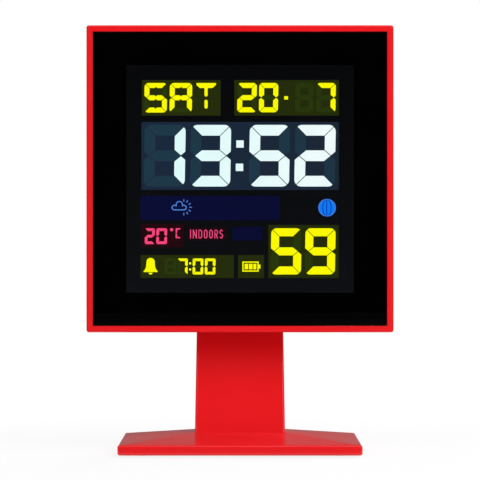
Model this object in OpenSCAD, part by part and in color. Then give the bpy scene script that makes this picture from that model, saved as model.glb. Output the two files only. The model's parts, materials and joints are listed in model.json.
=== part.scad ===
// Digital alarm clock: a square head with a coloured liquid-crystal display on a leaning neck
// and a low hipped base. Millimetres. The front faces -Y and the origin is under the base.

/* [Head] */
// Width and height of the square head
head_size = 120; // [108:1:140]
// Depth of the head, front to back
head_depth = 30; // [27:0.5:36]
// Height of the head's underside above the table
head_lift = 47.5; // [40:0.5:70]
// Distance of the head's front face ahead of the middle of the base
head_forward = 14; // [10:0.5:18]
// Depth of the back cover, as far as the seam
cover_depth = 12; // [11.5:0.5:13]
// Width of the red rim, which is also the side wall
rim_w = 2.5; // [2.2:0.1:3.5]
// Radius of the head's outer corners
corner_r = 1; // [0.9:0.1:2]
// Radius of the rounded front edge
edge_r = 0.8; // [0.4:0.1:0.9]
// Thickness of the back wall
wall_t = 2.2; // [2:0.1:2.8]
// Bevel round the back of the head
back_bevel = 3; // [2:0.5:4]
// Distance of the locating tabs from the middle of each side
tab_at = 39; // [39:0.5:42]

/* [Lens and display] */
// Thickness of the acrylic lens
lens_t = 2; // [1.5:0.1:2.5]
// Depth of the lens below the rim
lens_recess = 0.4; // [0.1:0.1:0.8]
// Width of the black border round the square display window
border_w = 13; // [12:0.5:18]
// Thickness of the black border film and of the light films
film_t = 0.2; // [0.1:0.05:0.3]
// Depth of the ledge that carries the lens
ledge_t = 2.4; // [2:0.1:3]
// Width of the ledge that carries the lens
ledge_w = 4; // [3:0.1:4.5]
// Thickness of each display glass
glass_t = 1.1; // [0.7:0.1:1.3]
// Width of the display glass hidden round the window
glass_border = 2.2; // [1.5:0.1:2.5]
// Width of the contact strip along the top and bottom of the display glass
contact_strip = 4; // [3.5:0.1:5]
// Thickness of the light guide
guide_t = 3; // [2:0.1:3.5]
// Wall of the display holder
holder_wall = 2; // [1.5:0.1:2.2]
// Thickness of the circuit boards
board_t = 1.6; // [1:0.1:2]

/* [Controls] */
// Diameter of the back buttons
button_d = 7; // [6:0.1:8]
// Spacing of the back buttons
button_pitch = 14; // [13:0.5:15]
// Height of the buttons above the back
button_proud = 0.8; // [0.6:0.1:1.6]
// Stroke of the buttons
button_travel = 0.5; // [0.3:0.1:0.6]
// Height of the button row above the middle of the head
button_row = 32; // [30:0.5:34]
// Length of the snooze bar
snooze_l = 60; // [40:1:61]
// Width of the snooze bar
snooze_w = 6; // [5:0.1:6.2]
// Height of the snooze bar above the head
snooze_proud = 1.2; // [0.8:0.1:1.4]
// Stroke of the snooze bar
snooze_travel = 0.8; // [0.5:0.1:0.9]
// Stroke of the alarm switch
knob_travel = 4; // [2:0.5:4]
// Distance of the sounder and the power socket to each side of the middle
low_x = 36; // [34:0.5:38]
// Distance of the sounder and the power socket below the middle
low_v = 36; // [35:0.5:40]

/* [Battery bay] */
// Diameter of a battery cell
cell_d = 10.5; // [9.5:0.1:10.6]
// Length of a battery cell over its cap
cell_l = 44.5; // [40:0.5:50]
// Length of a pressed contact spring
spring_l = 5; // [4.6:0.1:7]
// Wire of the contact springs
wire_d = 0.7; // [0.5:0.05:0.8]
// Turns of a contact spring
spring_turns = 2.5; // [2:0.5:2.5]
// Wall of the battery bay
bay_wall = 2; // [1.6:0.1:2.4]
// Width of the seat under the edge of the battery door
door_lap = 0.8; // [0.5:0.1:1]
// Diameter of the door's hinge pins
pin_d = 1.2; // [1:0.1:1.3]
// Height of the middle of the bay against the middle of the head
bay_mid = -8; // [-9:0.5:-4]

/* [Stand] */
// Width of the base
base_w = 94.2; // [80:0.2:120]
// Depth of the base
base_d = 60; // [56:0.5:80]
// Height of the base's upright edge
base_edge = 4; // [3.5:0.1:6]
// Rise of the hipped top from the edge to the neck
base_rise = 3.1; // [3:0.1:6]
// Radius of the base's edges
base_r = 1; // [0.3:0.1:1.2]
// Wall and roof of the base and neck
stand_wall = 1.9; // [1.6:0.1:2]
// Width of the neck at the base
neck_foot_w = 35.5; // [34:0.5:44]
// Width of the neck under the head
neck_top_w = 34.5; // [33:0.5:44]
// Depth of the neck at the base
neck_foot_d = 18; // [14:0.5:22]
// Distance of the neck's front ahead of the middle of the base
neck_forward = 7; // [4:0.5:9]
// Radius of the neck's upright edges
neck_r = 0.8; // [0.4:0.1:1.5]
// Height of the tongue inside the head
tongue_h = 24; // [20:0.5:26]
// Thickness of the base plate
plate_t = 1.5; // [1:0.1:1.6]
// Thickness of the steel weight
weight_t = 2.2; // [1:0.1:2.4]
// Diameter of the feet
foot_d = 9; // [6:0.5:10]
// Height of the feet below the base
foot_proud = 0.8; // [0.5:0.1:2]

/* [Clearances] */
// Gap round pieces that are laid or pressed in place
seat_gap = 0.15; // [0.1:0.05:0.3]
// Gap round pieces that slide or swing
move_gap = 0.3; // [0.25:0.05:0.4]
// Gap round pins and screws in their holes
pin_gap = 0.05; // [0.02:0.01:0.08]

/* [Hidden] */
$fn = 48;
// Overlap that joins solids of one piece and clears the end of a cut.
eps = 0.01;

// Bought-in parts keep their catalogue sizes.
case_screw = [3, 5.4, 2.2];
small_screw = [2, 3.8, 1.4];
switch_body = [6, 3.5];
switch_stem = [3.4, 1.5];
slide_body = [12, 4.6, 3.5];
lever_w = 2;
socket_shell = [9, 3.3, 7.4];
socket_skin = 0.35;
sounder_size = [14, 5];
ring_w = 1.5;
slot_w = 1.3;
slot_pitch = 2.6;
lead_d = 1.4;
lead_gap = 5;
lead_rise = 3;
contact_t = 0.4;
contact_w = 9;
led_l = 4;
led_notch = 1.6;
blob = [12, 2];
crystal = [2, 6];
can = [6.3, 7.6];
bead_d = 2.8;
base_screw_l = 2.2;
sink_h = 0.9;

// Depths behind the head's front face, front to back.
lens_back = lens_recess + lens_t;
mask_back = lens_back + film_t;
ledge_back = mask_back + ledge_t;
holder_lip = 0.8;
glass_front = mask_back + holder_lip;
glass_mid = glass_front + glass_t;
glass_back = glass_mid + glass_t;
diffuser_back = glass_back + film_t;
colour_back = diffuser_back + film_t;
guide_back = colour_back + guide_t;
reflector_back = guide_back + film_t;
board_front = reflector_back + film_t;
board_back = board_front + board_t;
flange_t = 1.6;
flange_back = ledge_back + flange_t;
wall_in = head_depth - wall_t;
frame_depth = head_depth - cover_depth;

// Sizes across the head.
head_mid = head_lift + head_size / 2;
head_half = head_size / 2;
inner = head_size - 2 * rim_w;
window = inner - 2 * border_w;
glass_size = window + 2 * glass_border;
glass_short = glass_size - 2 * contact_strip;
tray = glass_size + 2 * seat_gap + 2 * holder_wall;
guide_size = glass_short - 2;
board_trim = 4;
board_room = 7;
board_h = tray - board_trim;
board_w = inner - board_room;

// Locating tabs: length, thickness, reach into the frame and root in the cover.
tab_l = 12;
tab_t = 1.4;
tab_reach = 2;
tab_root = 4;

// Corner bosses of the case and the screws that share their axes.
boss_d = 6.5;
boss_at = inner / 2 - boss_d / 2 - 1.75;
boss_rise = 9;
boss_back = ledge_back + boss_rise;
post_d = boss_d + 0.9;
seat_t = 4;
case_seat = boss_back + seat_t;
screw_down = 10;
holder_screw_at = inner / 2 - small_screw[1] / 2 - 0.4;
board_post_d = 5;
post_inset = 17;
board_post = [board_w / 2 - board_post_d / 2, board_h / 2 - post_inset];

// Places of the small parts on the main board, from its middle.
blob_at = [14, 22];
crystal_at = [-20, 16];
can_at = [34, -12];
ribbon_x = -22;
ribbon_w = 14;

// Buttons, from the back wall forwards.
flange_w = 1;
button_flange_t = 1.1;
flange_gap = 0.1;
button_seat = wall_in - flange_gap - button_flange_t;
key_back = button_seat - switch_body[1] - switch_stem[1];
key_front = key_back - board_t;
key_h = 17.6;
key_w = 2 * (3.5 * button_pitch);
post_x = 1.5 * button_pitch;
post_v = button_row - 5.5;
key_post_d = 4.5;
key_bite = 4;
stem_play = 0.2;
sensor_x = -3 * button_pitch;
knob_x = 3 * button_pitch;
knob_size = [5, 3.2];

// Snooze bar, from the seam backwards.
snooze_mid = frame_depth + 1.5 + move_gap + snooze_w / 2;
snooze_flange_t = 1.2;
snooze_r = 1.5;
snooze_edge = 0.6;
snooze_rib = [8, 2.4];
snooze_top = head_half - rim_w - flange_gap;
snooze_under = snooze_top - snooze_flange_t;
snooze_switch_v = button_row + button_d / 2 + flange_w + 0.5;
snooze_stem_top = snooze_switch_v + switch_body[1] + switch_stem[1];

// Battery bay, with three cells side by side.
cell_gap = 0.5;
cell_side = 0.4;
cell_pitch = cell_d + cell_gap;
bay_l = cell_l + spring_l + 2 * contact_t;
bay_h = 3 * cell_d + 2 * cell_gap + 2 * cell_side;
cell_axis = wall_in - cell_side - cell_d / 2;
bay_floor = cell_axis - cell_d / 2 - cell_side;
bay_front = bay_floor - bay_wall;
door_w = bay_l + 2 * door_lap;
door_low = bay_mid - bay_h / 2 - door_lap;
door_high = bay_mid + bay_h / 2 + door_lap;
hinge_v = door_low + wall_t / 2;
hinge_u = head_depth - wall_t / 2;
pin_l = 1.2;
latch_w = 14;
latch_l = 2;
groove_w = 0.9;
groove_pitch = 2;
scoop_r = 9.2;
scoop_depth = 1.2;
// Ends of the chain of cells: the side, and the height of the cell that each belongs to.
tail_w = 3;
tail_l = lead_d + 2 * move_gap;
tail_u = cell_axis;
tails = [[1, bay_mid + cell_pitch], [-1, bay_mid - cell_pitch]];

// A cone spring's centre line: square to its plate at each end, with turns between.
spring_r = [3.3, 2];
spring_steps = 12;
spring_n = spring_turns * spring_steps;
spring_line = concat(
    [[0, spring_r[0], 0]],
    [for (i = [0 : spring_n])
        let (s = i / spring_n, r = spring_r[0] + (spring_r[1] - spring_r[0]) * s)
        [wire_d + s * (spring_l - 2 * wire_d), r * cos(360 * spring_turns * s),
            r * sin(360 * spring_turns * s)]],
    [[spring_l, spring_r[1] * cos(360 * spring_turns), spring_r[1] * sin(360 * spring_turns)]]);
spring_gap = min([for (i = [0 : len(spring_line) - 1], j = [i + 6 : 1 : len(spring_line) - 1])
    norm(spring_line[i] - spring_line[j])]) - wire_d;
echo(spring_gap = spring_gap);

// Back row at the bottom: sounder on one side, power socket on the other.
socket_back = head_depth - 0.3;
socket_front = socket_back - socket_shell[2];
socket_board_size = [21, 11];
socket_post_d = 4.2;
socket_bite = 3.4;
socket_post_x = socket_board_size[0] / 2 - 2.4;

// Neck and tongue.
pad_t = 1.8;
base_top = foot_proud + base_edge + base_rise;
edge_top = foot_proud + base_edge;
neck_top_front = frame_depth - head_forward + 0.6;
neck_top_back = head_depth - head_forward - 1;
tongue_front = neck_top_front + 0.6;
tongue_back = head_depth - head_forward - wall_t - pad_t;
tongue_side = 4.5;
tongue_w = neck_top_w - tongue_side;
tongue_screw_up = 14;
tongue_screw = [tongue_w / 4, head_lift + tongue_screw_up];
tongue_seat = head_depth - case_screw[2] - 0.3;
side_run = base_w / 2 - neck_foot_w / 2;
front_run = base_d / 2 - neck_forward;
back_run = base_d / 2 + neck_forward - neck_foot_d;
plate_low = foot_proud + 0.3;
plate_top = plate_low + plate_t;
boss_inset = 16;
base_boss = [base_w / 2 - boss_inset, neck_foot_d / 2];
base_boss_d = 6;

// Height of the base's top face at a distance across, and along its depth.
function roof_x(x) = edge_top + base_rise * min(1, (base_w / 2 - abs(x)) / side_run);
function roof_y(y) = edge_top + base_rise
    * min(1, (base_d / 2 + y) / front_run, (base_d / 2 - y) / back_run);
function unit(v) = v / norm(v);
// The neck's outline at a height, straight from the base to the head.
function up_neck(z) = (z - base_top) / (head_lift - base_top);
function neck_front(z) = -neck_forward + (neck_top_front + neck_forward) * up_neck(z);
function neck_back(z) = neck_foot_d - neck_forward
    + (neck_top_back - neck_foot_d + neck_forward) * up_neck(z);
function neck_width(z) = neck_foot_w + (neck_top_w - neck_foot_w) * up_neck(z);

// A flat shape across the head, given depth between two distances behind its front face.
module layer(from, to)
    translate([0, to - head_forward, head_mid])
        rotate([90, 0, 0])
            linear_extrude(to - from)
                children();

// Stands a turned shape at a place on the head, pointing to the back.
module aft(u, x, v)
    translate([x, u - head_forward, head_mid + v])
        rotate([-90, 0, 0])
            children();

module rounded(w, h, r) {
    square([w - 2 * r, h], center = true);
    square([w, h - 2 * r], center = true);
    for (x = [-1, 1], y = [-1, 1])
        translate([x * (w / 2 - r), y * (h / 2 - r)])
            circle(r);
}

// A long slot with round ends.
module stadium(l, w) {
    square([l - w, w], center = true);
    for (x = [-1, 1])
        translate([x * (l - w) / 2, 0])
            circle(d = w);
}

module four(x, v)
    for (i = [-1, 1], j = [-1, 1])
        translate([i * x, j * v])
            children();

// A cross-head screw: the seat is at zero, the shank below it and the head above.
module screw(kind, length) {
    d = kind[1];
    h = kind[2];
    translate([0, 0, -length])
        cylinder(d = kind[0], h = length + eps);
    difference() {
        rotate_extrude()
            polygon([[0, 0], [d / 2, 0], [d / 2, h * 0.5], [d * 0.36, h], [0, h]]);
        for (a = [0, 90])
            rotate(a)
                translate([-d * 0.28, -d * 0.07, h * 0.45])
                    cube([d * 0.56, d * 0.14, h]);
    }
}

red = "#E4202A";
black = "#141416";
steel = "#C9CCD0";

// Front half of the head

// A rounded block's outer skin, one corner radius thick, with its upper edge rounded over.
module soft_skin(w, h, up, r, edge) {
    module section() {
        square([r, up - edge]);
        square([r - edge, up]);
        translate([r - edge, up - edge])
            intersection() {
                circle(edge);
                square(edge + eps);
            }
    }
    for (a = [0, 180], turn = [0, 90]) {
        x = (turn == 0 ? w : h) / 2 - r;
        y = (turn == 0 ? h : w) / 2 - r;
        rotate(a + turn) {
            translate([x, y, 0])
                rotate([90, 0, 0])
                    linear_extrude(2 * y)
                        section();
            translate([x, y, 0])
                rotate_extrude(angle = 90)
                    section();
        }
    }
}

module front_frame()
    color(red)
        difference() {
            union() {
                translate([0, frame_depth - head_forward, head_mid])
                    rotate([90, 0, 0])
                        soft_skin(head_size, head_size, frame_depth, corner_r, edge_r);
                layer(0, frame_depth)
                    difference() {
                        square(head_size - 2 * corner_r, center = true);
                        square(inner, center = true);
                    }
                layer(mask_back, ledge_back)
                    difference() {
                        square(inner + 2 * eps, center = true);
                        square(inner - 2 * ledge_w, center = true);
                    }
                layer(mask_back, ledge_back)
                    four(inner / 2 - boss_d / 2 - 1, inner / 2 - boss_d / 2 - 1)
                        square(boss_d + 2 + 2 * eps, center = true);
                layer(ledge_back - eps, boss_back)
                    four(boss_at, boss_at)
                        circle(d = boss_d);
            }
            layer(case_seat - screw_down - 1, boss_back + eps)
                four(boss_at, boss_at)
                    circle(d = case_screw[0] + 2 * pin_gap);
            layer(mask_back - eps, ledge_back + eps)
                for (a = [0 : 90 : 270])
                    rotate(a)
                        translate([holder_screw_at, 0])
                            circle(d = small_screw[0] + 2 * pin_gap);
        }

module front_lens()
    color("#26282E", 0.55)
        layer(lens_recess, lens_back)
            square(inner - 2 * seat_gap, center = true);

module lens_mask()
    color("#050506")
        layer(lens_back, mask_back)
            difference() {
                square(inner - 2 * seat_gap, center = true);
                square(window, center = true);
            }

// A tray round the display, with a flange that screws to the frame's ledge.
module lcd_holder()
    color("#E9E9E4")
        difference() {
            union() {
                layer(mask_back, board_front)
                    difference() {
                        square(tray, center = true);
                        square(tray - 2 * holder_wall, center = true);
                    }
                layer(mask_back, glass_front)
                    difference() {
                        square(tray - holder_wall, center = true);
                        square(window + 1, center = true);
                    }
                layer(ledge_back, flange_back)
                    difference() {
                        square(inner - 2 * seat_gap, center = true);
                        square(tray - holder_wall, center = true);
                        four(inner / 2, inner / 2)
                            square(2 * boss_d + 7, center = true);
                    }
                layer(flange_back - eps, board_front)
                    four(board_post[0], board_post[1])
                        circle(d = board_post_d);
            }
            layer(mask_back - eps, board_front + eps)
                four(boss_at, boss_at)
                    circle(d = post_d + 2 * move_gap);
            layer(ledge_back - eps, flange_back + eps)
                for (a = [0 : 90 : 270])
                    rotate(a)
                        translate([holder_screw_at, 0])
                            circle(d = small_screw[0] + 2 * pin_gap);
            layer(ledge_back - eps, board_front + eps)
                four(board_post[0], board_post[1])
                    circle(d = small_screw[0] + 2 * pin_gap);
        }

module holder_screws()
    color(steel)
        for (p = [[1, 0], [0, 1], [-1, 0], [0, -1]])
            aft(flange_back, p[0] * holder_screw_at, p[1] * holder_screw_at)
                screw(small_screw, flange_t + ledge_t - 0.4);

// Two bonded glasses; the front one is taller and bares its contact strips.
module lcd_glass()
    color("#1B1E24") {
        layer(glass_front, glass_mid)
            square(glass_size, center = true);
        layer(glass_mid - eps, glass_back)
            square([glass_size, glass_short], center = true);
    }

module film(from, to)
    layer(from, to)
        rounded(guide_size, guide_size, 1);

// The light guide's outline, with a notch for each side lamp.
module guide_outline()
    difference() {
        rounded(guide_size, guide_size, 1);
        for (s = [-1, 1], v = [-1, 1])
            translate([s * guide_size / 2, v * guide_size / 4])
                square([2 * led_notch, led_l + 2 * seat_gap], center = true);
    }

module diffuser_film()
    color("#F4F4F0")
        film(glass_back, diffuser_back);

module colour_film()
    color("#C9B84A")
        film(diffuser_back, colour_back);

module light_guide()
    color("#DDE6EA")
        layer(colour_back, guide_back)
            guide_outline();

module reflector_film()
    color("#FAFAFA")
        layer(guide_back, reflector_back)
            guide_outline();

// Rubber strips that join the glass's contacts to the board.
module zebra_connectors()
    color("#9C9CA0")
        layer(glass_mid, board_front)
            for (s = [-1, 1])
                translate([0, s * (glass_size - contact_strip + 0.8) / 2])
                    square([guide_size, contact_strip - 1.2], center = true);

// Side lamps that stand on the board in notches of the light guide.
module backlight_leds()
    color("#FFF6D8")
        layer(colour_back + seat_gap, board_front)
            for (s = [-1, 1], v = [-1, 1])
                translate([s * (guide_size / 2 - led_notch / 2 + seat_gap), v * guide_size / 4])
                    square([led_notch - 2 * seat_gap, led_l], center = true);

module main_board()
    color("#1F6B3A")
        layer(board_front, board_back)
            difference() {
                rounded(board_w, board_h, 1.5);
                four(board_post[0], board_post[1])
                    circle(d = small_screw[0] + 2 * pin_gap);
            }

module board_screws()
    color(steel)
        for (x = [-1, 1], v = [-1, 1])
            aft(board_back, x * board_post[0], v * board_post[1])
                screw(small_screw, board_front - ledge_back + board_t - 0.6);

// A potted chip: a low dome of resin, cut from a ball.
module controller_blob() {
    ball = (blob[0] * blob[0] / 4 + blob[1] * blob[1]) / (2 * blob[1]);
    color("#101010")
        intersection() {
            aft(board_back + blob[1] - ball, blob_at[0], blob_at[1])
                sphere(ball);
            layer(board_back, board_back + blob[1])
                translate(blob_at)
                    circle(d = blob[0] + 1);
        }
}

module quartz_crystal()
    color(steel)
        translate([crystal_at[0], board_back - head_forward + crystal[0] / 2 + pin_gap,
            head_mid + crystal_at[1]])
            rotate([0, 90, 0])
                cylinder(d = crystal[0], h = crystal[1]);

// A sleeved can with a crimped foot and a scored top.
module capacitor() {
    r = can[0] / 2;
    h = can[1];
    color("#23304F")
        aft(board_back, can_at[0], can_at[1])
            difference() {
                rotate_extrude()
                    polygon([[0, 0], [r, 0], [r, 0.9], [r - 0.3, 1.2], [r, 1.5], [r, h - 0.3],
                        [r - 0.3, h], [0, h]]);
                for (a = [0, 90])
                    rotate(a)
                        translate([-r * 0.6, -0.15, h - 0.2])
                            cube([r * 1.2, 0.3, 1]);
            }
}

// Back half of the head

// The cover's outline: three crossed prisms give it a hipped bevel.
module bevelled(size, from, to, bevel, r) {
    h = size / 2;
    side = [[from, -h], [to - bevel, -h], [to, bevel - h], [to, h - bevel], [to - bevel, h], [from, h]];
    intersection() {
        layer(from, to)
            rounded(size, size, r);
        translate([-size, -head_forward, head_mid])
            rotate([90, 0, 90])
                linear_extrude(2 * size)
                    polygon(side);
        translate([0, -head_forward, head_mid - size])
            linear_extrude(2 * size)
                polygon([for (p = side) [p[1], p[0]]]);
    }
}

module sound_slots()
    for (i = [-2 : 2])
        translate([-low_x, i * slot_pitch - low_v])
            stadium(sounder_size[0] - 2 * ring_w - abs(i) * slot_w, slot_w);

module vent_slots()
    for (i = [-1 : 1])
        translate([sensor_x + i * slot_pitch, button_row])
            rotate(90)
                stadium(button_d + 2, slot_w);

module door_hole(gap) {
    translate([0, (door_low + door_high) / 2])
        square([door_w + 2 * gap, door_high - door_low + 2 * gap], center = true);
    translate([0, door_high + latch_l / 2])
        square([latch_w + 2 * gap, latch_l + 2 * gap], center = true);
}

// Short ribs that run inside the frame and keep the two halves in line.
module seam_tabs()
    for (a = [0, 90, 180], s = [-1, 1]) {
        layer(frame_depth - tab_reach, frame_depth + tab_root)
            rotate(a)
                translate([inner / 2 - tab_t / 2 - seat_gap, s * tab_at])
                    square([tab_t, tab_l], center = true);
        layer(frame_depth, frame_depth + tab_root)
            rotate(a)
                translate([inner / 2 - tab_t / 2 + eps, s * tab_at])
                    square([tab_t, tab_l], center = true);
    }

module cover_walls() {
    bevelled(head_size, frame_depth, head_depth, back_bevel, corner_r);
    seam_tabs();
}

module cover_inside() {
    in_bevel = max(0.3, back_bevel - rim_w + wall_t * (sqrt(2) - 1));
    bevelled(inner, frame_depth - 1, wall_in, in_bevel, 0.5);
}

module cover_posts() {
    layer(boss_back, wall_in + eps)
        four(boss_at, boss_at)
            circle(d = post_d);
    layer(bay_front, wall_in + eps)
        translate([0, bay_mid])
            square([bay_l + 2 * bay_wall, bay_h + 2 * bay_wall], center = true);
    layer(key_back, wall_in + eps)
        for (s = [-1, 1])
            translate([s * post_x, post_v])
                circle(d = key_post_d);
    layer(socket_front, wall_in + eps)
        for (s = [-1, 1])
            translate([low_x + s * socket_post_x, -low_v])
                circle(d = socket_post_d);
    layer(wall_in - sounder_size[1] + 1, wall_in + eps)
        translate([-low_x, -low_v])
            difference() {
                circle(d = sounder_size[0] + 2 * ring_w);
                circle(d = sounder_size[0] + 2 * seat_gap);
            }
    layer(wall_in - pad_t, wall_in + eps)
        translate([0, head_lift + rim_w + tongue_h / 2 - head_mid])
            square([tongue_w, tongue_h], center = true);
}

module back_cover()
    color(red)
        difference() {
            union() {
                difference() {
                    cover_walls();
                    difference() {
                        cover_inside();
                        seam_tabs();
                    }
                }
                cover_posts();
            }
            // Case screws, sunk in deep wells.
            layer(boss_back - eps, head_depth)
                four(boss_at, boss_at)
                    circle(d = case_screw[0] + 2 * pin_gap);
            layer(case_seat, head_depth + eps)
                four(boss_at, boss_at)
                    circle(d = case_screw[1] + 2 * move_gap);
            // Battery bay, door opening, hinge sockets and a finger scoop above the latch.
            layer(bay_floor, head_depth + eps)
                translate([0, bay_mid])
                    square([bay_l, bay_h], center = true);
            layer(wall_in - flange_gap, head_depth + eps)
                door_hole(move_gap);
            translate([-door_w, hinge_u - head_forward, head_mid + hinge_v])
                rotate([0, 90, 0])
                    translate([0, 0, door_w / 2 - pin_l - pin_gap - move_gap])
                        cylinder(d = pin_d + 2 * pin_gap, h = door_w + 2 * (pin_l + pin_gap + move_gap));
            aft(head_depth + scoop_r - scoop_depth, 0, door_high + latch_l + move_gap)
                sphere(scoop_r);
            for (t = tails)
                layer(tail_u - contact_t / 2 - seat_gap, tail_u + contact_t / 2 + seat_gap)
                    translate([t[0] * (bay_l + bay_wall) / 2, t[1]])
                        square([bay_wall + 2 * eps, tail_w + 2 * seat_gap], center = true);
            // Buttons, alarm knob, vents, socket and tongue.
            layer(wall_in - eps, head_depth + eps)
                for (i = [-2 : 2])
                    translate([i * button_pitch, button_row])
                        circle(d = button_d + 2 * move_gap);
            layer(wall_in - eps, head_depth + eps)
                translate([knob_x, button_row])
                    square([knob_size[0] + knob_travel + 2 * move_gap, knob_size[1] + 2 * move_gap],
                        center = true);
            layer(wall_in - eps, head_depth + eps) {
                sound_slots();
                vent_slots();
                translate([low_x, -low_v])
                    stadium(socket_shell[0] + 2 * seat_gap, socket_shell[1] + 2 * seat_gap);
            }
            layer(key_back - eps, wall_in - 1)
                for (s = [-1, 1])
                    translate([s * post_x, post_v])
                        circle(d = small_screw[0] + 2 * pin_gap);
            layer(socket_front - eps, wall_in - 1)
                for (s = [-1, 1])
                    translate([low_x + s * socket_post_x, -low_v])
                        circle(d = small_screw[0] + 2 * pin_gap);
            translate([-tongue_w / 2 - seat_gap, tongue_front - seat_gap, head_lift - 1])
                cube([tongue_w + 2 * seat_gap, tongue_back - tongue_front + seat_gap, rim_w + 1 + eps]);
            for (s = [-1, 1])
                layer(wall_in - pad_t - eps, head_depth)
                    translate([s * tongue_screw[0], tongue_screw[1] - head_mid])
                        circle(d = case_screw[0] + 2 * pin_gap);
            for (s = [-1, 1])
                layer(tongue_seat, head_depth + eps)
                    translate([s * tongue_screw[0], tongue_screw[1] - head_mid])
                        circle(d = case_screw[1] + 2 * move_gap);
            // Snooze slot in the top wall.
            translate([0, snooze_mid - head_forward, head_mid + head_half - rim_w - eps])
                linear_extrude(rim_w + 1)
                    rounded(snooze_l + 2 * move_gap, snooze_w + 2 * move_gap, snooze_r + move_gap);
        }

module case_screws()
    color(steel)
        for (x = [-1, 1], v = [-1, 1])
            aft(case_seat, x * boss_at, v * boss_at)
                screw(case_screw, screw_down);

module key_board()
    color("#1F6B3A")
        layer(key_front, key_back)
            difference() {
                translate([0, button_row])
                    rounded(key_w, key_h, 1);
                for (s = [-1, 1])
                    translate([s * post_x, post_v])
                        circle(d = small_screw[0] + 2 * pin_gap);
            }

module key_screws()
    color(steel)
        for (s = [-1, 1])
            aft(key_front, s * post_x, post_v)
                rotate([180, 0, 0])
                    screw(small_screw, board_t + key_bite);

// A push switch's case, open at the top for its stem.
module switch_case()
    difference() {
        translate([-switch_body[0] / 2, -switch_body[0] / 2, 0])
            cube([switch_body[0], switch_body[0], switch_body[1]]);
        translate([0, 0, 0.8])
            cylinder(d = switch_stem[0] + 2 * stem_play, h = switch_body[1]);
    }

module switch_plunger()
    translate([0, 0, 0.8 + max(button_travel, snooze_travel) + stem_play])
        cylinder(d = switch_stem[0],
            h = switch_body[1] + switch_stem[1] - 0.8 - max(button_travel, snooze_travel) - stem_play);

module key_switches()
    color("#3A3A3E")
        for (i = [-2 : 2])
            aft(key_back, i * button_pitch, button_row)
                switch_case();

module at_snooze_switch()
    translate([0, key_back + switch_body[0] / 2 - head_forward, head_mid + snooze_switch_v])
        children();

module snooze_switch()
    color("#3A3A3E")
        at_snooze_switch()
            switch_case();

module snooze_stem()
    color("#E8E2D0")
        at_snooze_switch()
            switch_plunger();

module slide_switch()
    color(steel)
        layer(key_back, key_back + slide_body[2])
            translate([knob_x, button_row])
                difference() {
                    square([slide_body[0], slide_body[1]], center = true);
                    square([lever_w + knob_travel + 2 * move_gap, lever_w + 2 * move_gap], center = true);
                }

// A bead on two wires, behind the vents.
module temperature_sensor() {
    r = bead_d / 2;
    leg_d = 0.6;
    leg_l = 3;
    color("#2C2C30") {
        aft(key_back + leg_l, sensor_x, button_row)
            rotate_extrude()
                polygon([[0, 0], [r * 0.8, 0], [r, r * 0.3], [r, r], [r * 0.7, r * 1.7], [0, r * 2]]);
        layer(key_back, key_back + leg_l + eps)
            for (s = [-1, 1])
                translate([sensor_x + s * r / 2, button_row])
                    circle(d = leg_d);
    }
}

// A flat cable that drops in two bends from the key board to the main board.
module ribbon_cable() {
    r = 2.4;
    t = 0.6;
    drop = 7;
    run = key_front - board_back;
    color("#B9BCC2")
        translate([ribbon_x, board_back - head_forward, head_mid + button_row - drop])
            rotate([90, 0, 90])
                linear_extrude(ribbon_w) {
                    square([run / 2 - r + t / 2, t]);
                    translate([run / 2 + t / 2 + r - t, drop - t])
                        square([run / 2 - r + t / 2, t]);
                    translate([run / 2 - t / 2, r])
                        square([t, drop - 2 * r]);
                    translate([run / 2 - r + t / 2, r])
                        bend(r, t, -90);
                    translate([run / 2 + r - t / 2, drop - r])
                        bend(r, t, 90);
                }
}

module bend(r, t, a)
    rotate(a)
        intersection() {
            difference() {
                circle(r);
                circle(r - t);
            }
            square(r + eps);
        }

module sounder()
    color("#18181A")
        difference() {
            layer(wall_in - sounder_size[1], wall_in)
                translate([-low_x, -low_v])
                    circle(d = sounder_size[0]);
            layer(wall_in - 3, wall_in + eps)
                translate([-low_x, -low_v])
                    circle(d = 2.4);
        }

// A small power inlet: a folded shell round a tongue.
module power_socket()
    color(steel) {
        layer(socket_front, socket_back)
            translate([low_x, -low_v])
                difference() {
                    stadium(socket_shell[0], socket_shell[1]);
                    stadium(socket_shell[0] - 2 * socket_skin, socket_shell[1] - 2 * socket_skin);
                }
        layer(socket_front, socket_front + 1.2)
            translate([low_x, -low_v])
                stadium(socket_shell[0] - socket_skin, socket_shell[1] - socket_skin);
        layer(socket_front, socket_back - 0.8)
            translate([low_x, -low_v])
                square([6.6, 0.7], center = true);
    }

module socket_board()
    color("#1F6B3A")
        layer(socket_front - board_t, socket_front)
            translate([low_x, -low_v])
                difference() {
                    rounded(socket_board_size[0], socket_board_size[1], 1);
                    for (s = [-1, 1])
                        translate([s * socket_post_x, 0])
                            circle(d = small_screw[0] + 2 * pin_gap);
                }

module socket_screws()
    color(steel)
        for (s = [-1, 1])
            aft(socket_front - board_t, low_x + s * socket_post_x, -low_v)
                rotate([180, 0, 0])
                    screw(small_screw, board_t + socket_bite);

module power_leads()
    color("#B02020")
        layer(board_back, socket_front - board_t)
            for (s = [-1, 1])
                translate([low_x + s * lead_gap / 2, -low_v + lead_rise])
                    circle(d = lead_d);

// Battery cells and their contacts

// Plates on the bay's end walls: two stand alone with a tail through the wall, two join a pair of cells.
module contact_plates()
    color(steel)
        for (t = tails) {
            alone = [t[0], t[1], contact_w];
            pair = [t[0], bay_mid - t[0] * cell_pitch / 2, contact_w + cell_pitch];
            for (c = [alone, pair])
                layer(bay_floor, cell_axis + contact_w / 2)
                    translate([c[0] * (bay_l - contact_t) / 2, c[1]])
                        square([contact_t, c[2]], center = true);
            layer(tail_u - contact_t / 2, tail_u + contact_t / 2)
                translate([t[0] * (bay_l - contact_t + bay_wall + tail_l) / 2, t[1]])
                    square([contact_t + bay_wall + tail_l, tail_w], center = true);
        }

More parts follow.
